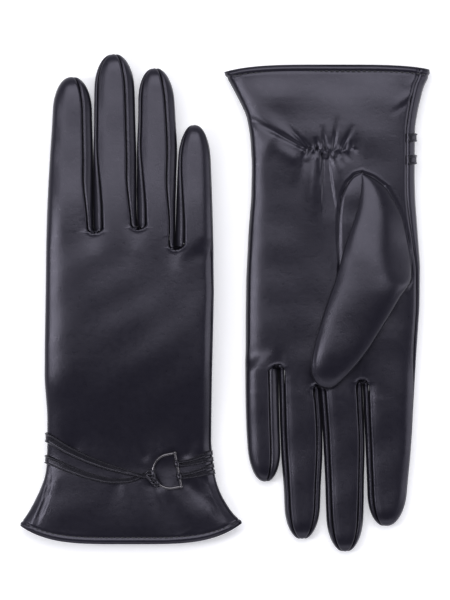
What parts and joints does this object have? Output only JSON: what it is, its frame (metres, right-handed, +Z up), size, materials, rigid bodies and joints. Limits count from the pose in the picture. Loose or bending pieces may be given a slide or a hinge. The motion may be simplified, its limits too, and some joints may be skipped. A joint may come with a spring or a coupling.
{
  "type": "pair of leather gloves",
  "caption": "Pair of lined leather gloves with flared cuffs, gathered wrists and a strap with a D-ring, one palm down and one palm up.",
  "frame": {"origin": "centre of the pair's footprint, on the table the gloves lie on", "axes": "+Y along the hands, towards the right glove's fingertips; +X from the right glove to the left glove; +Z up from the table"},
  "size_m": [0.2055, 0.2486, 0.0193],
  "materials": {
    "glove_leather": "smooth nappa leather, near black, soft sheen",
    "strap_leather": "smooth leather, near black, folded edges",
    "lining": "dark knitted lining",
    "elastic": "narrow woven elastic tape",
    "dark_metal": "polished gunmetal plating"
  },
  "bodies": {
    "right_hand": {"right_back_panel": "glove_leather", "right_palm_panel": "glove_leather", "right_hand_lining": "lining", "right_cuff_hem": "glove_leather", "right_wrist_elastic": "elastic", "right_thumb_gusset": "glove_leather", "right_upper_strap": "strap_leather", "right_lower_strap": "strap_leather", "right_d_ring_straps": "strap_leather"},
    "right_thumb": {"right_thumb_sleeve": "glove_leather", "right_thumb_lining": "lining"},
    "right_index_finger": {"right_index_finger_back": "glove_leather", "right_index_finger_palm": "glove_leather", "right_index_finger_fourchette": "glove_leather", "right_index_finger_lining": "lining"},
    "right_middle_finger": {"right_middle_finger_back": "glove_leather", "right_middle_finger_palm": "glove_leather", "right_middle_finger_fourchette": "glove_leather", "right_middle_finger_lining": "lining"},
    "right_ring_finger": {"right_ring_finger_back": "glove_leather", "right_ring_finger_palm": "glove_leather", "right_ring_finger_fourchette": "glove_leather", "right_ring_finger_lining": "lining"},
    "right_little_finger": {"right_little_finger_back": "glove_leather", "right_little_finger_palm": "glove_leather", "right_little_finger_fourchette": "glove_leather", "right_little_finger_lining": "lining"},
    "right_ring": {"right_d_ring": "dark_metal", "right_d_ring_wrap": "strap_leather"},
    "left_hand": {"left_back_panel": "glove_leather", "left_palm_panel": "glove_leather", "left_hand_lining": "lining", "left_cuff_hem": "glove_leather", "left_wrist_elastic": "elastic", "left_thumb_gusset": "glove_leather", "left_upper_strap": "strap_leather", "left_lower_strap": "strap_leather", "left_d_ring_straps": "strap_leather"},
    "left_thumb": {"left_thumb_sleeve": "glove_leather", "left_thumb_lining": "lining"},
    "left_index_finger": {"left_index_finger_back": "glove_leather", "left_index_finger_palm": "glove_leather", "left_index_finger_fourchette": "glove_leather", "left_index_finger_lining": "lining"},
    "left_middle_finger": {"left_middle_finger_back": "glove_leather", "left_middle_finger_palm": "glove_leather", "left_middle_finger_fourchette": "glove_leather", "left_middle_finger_lining": "lining"},
    "left_ring_finger": {"left_ring_finger_back": "glove_leather", "left_ring_finger_palm": "glove_leather", "left_ring_finger_fourchette": "glove_leather", "left_ring_finger_lining": "lining"},
    "left_little_finger": {"left_little_finger_back": "glove_leather", "left_little_finger_palm": "glove_leather", "left_little_finger_fourchette": "glove_leather", "left_little_finger_lining": "lining"},
    "left_ring": {"left_d_ring": "dark_metal", "left_d_ring_wrap": "strap_leather"}
  },
  "joints": [
    {"name": "left_glove_lift", "type": "slide", "parent": "right_hand", "child": "left_hand", "axis": [0, 0, 1], "range_m": [0, 0.08]},
    {"name": "right_index_finger_flex", "type": "hinge", "parent": "right_hand", "child": "right_index_finger", "pos_m": [-0.0768, 0.0478, 0.006], "axis": [-1, 0, 0], "range_deg": [0, 90]},
    {"name": "right_middle_finger_flex", "type": "hinge", "parent": "right_hand", "child": "right_middle_finger", "pos_m": [-0.0547, 0.0478, 0.006], "axis": [-1, 0, 0], "range_deg": [0, 90]},
    {"name": "right_ring_finger_flex", "type": "hinge", "parent": "right_hand", "child": "right_ring_finger", "pos_m": [-0.0339, 0.0478, 0.006], "axis": [-1, 0, 0], "range_deg": [0, 90]},
    {"name": "right_little_finger_flex", "type": "hinge", "parent": "right_hand", "child": "right_little_finger", "pos_m": [-0.0148, 0.0378, 0.007], "axis": [-1, 0, 0], "range_deg": [0, 90]},
    {"name": "right_thumb_lift", "type": "hinge", "parent": "right_hand", "child": "right_thumb", "pos_m": [-0.06795, -0.0154, 0.0001], "axis": [-0.9545, 0.2981, 0], "range_deg": [0, 70]},
    {"name": "right_ring_tilt", "type": "hinge", "parent": "right_hand", "child": "right_ring", "pos_m": [-0.023, -0.0832, 0.0134], "axis": [-0.1874, 0.9823, 0], "range_deg": [0, 15]},
    {"name": "left_index_finger_flex", "type": "hinge", "parent": "left_hand", "child": "left_index_finger", "pos_m": [0.08235, -0.0492, 0.0104], "axis": [-1, 0, 0], "range_deg": [0, 90]},
    {"name": "left_middle_finger_flex", "type": "hinge", "parent": "left_hand", "child": "left_middle_finger", "pos_m": [0.05925, -0.0492, 0.0104], "axis": [-1, 0, 0], "range_deg": [0, 90]},
    {"name": "left_ring_finger_flex", "type": "hinge", "parent": "left_hand", "child": "left_ring_finger", "pos_m": [0.03805, -0.0492, 0.0104], "axis": [-1, 0, 0], "range_deg": [0, 90]},
    {"name": "left_little_finger_flex", "type": "hinge", "parent": "left_hand", "child": "left_little_finger", "pos_m": [0.01925, -0.0392, 0.0104], "axis": [-1, 0, 0], "range_deg": [0, 90]},
    {"name": "left_thumb_lift", "type": "hinge", "parent": "left_hand", "child": "left_thumb", "pos_m": [0.0749, 0.014, 0.0187], "axis": [-0.9545, 0.2981, 0], "range_deg": [0, 70]},
    {"name": "left_ring_tilt", "type": "hinge", "parent": "left_hand", "child": "left_ring", "pos_m": [0.02995, 0.0818, 0.0014], "axis": [-0.1874, 0.9823, 0], "range_deg": [0, 15]}
  ]
}
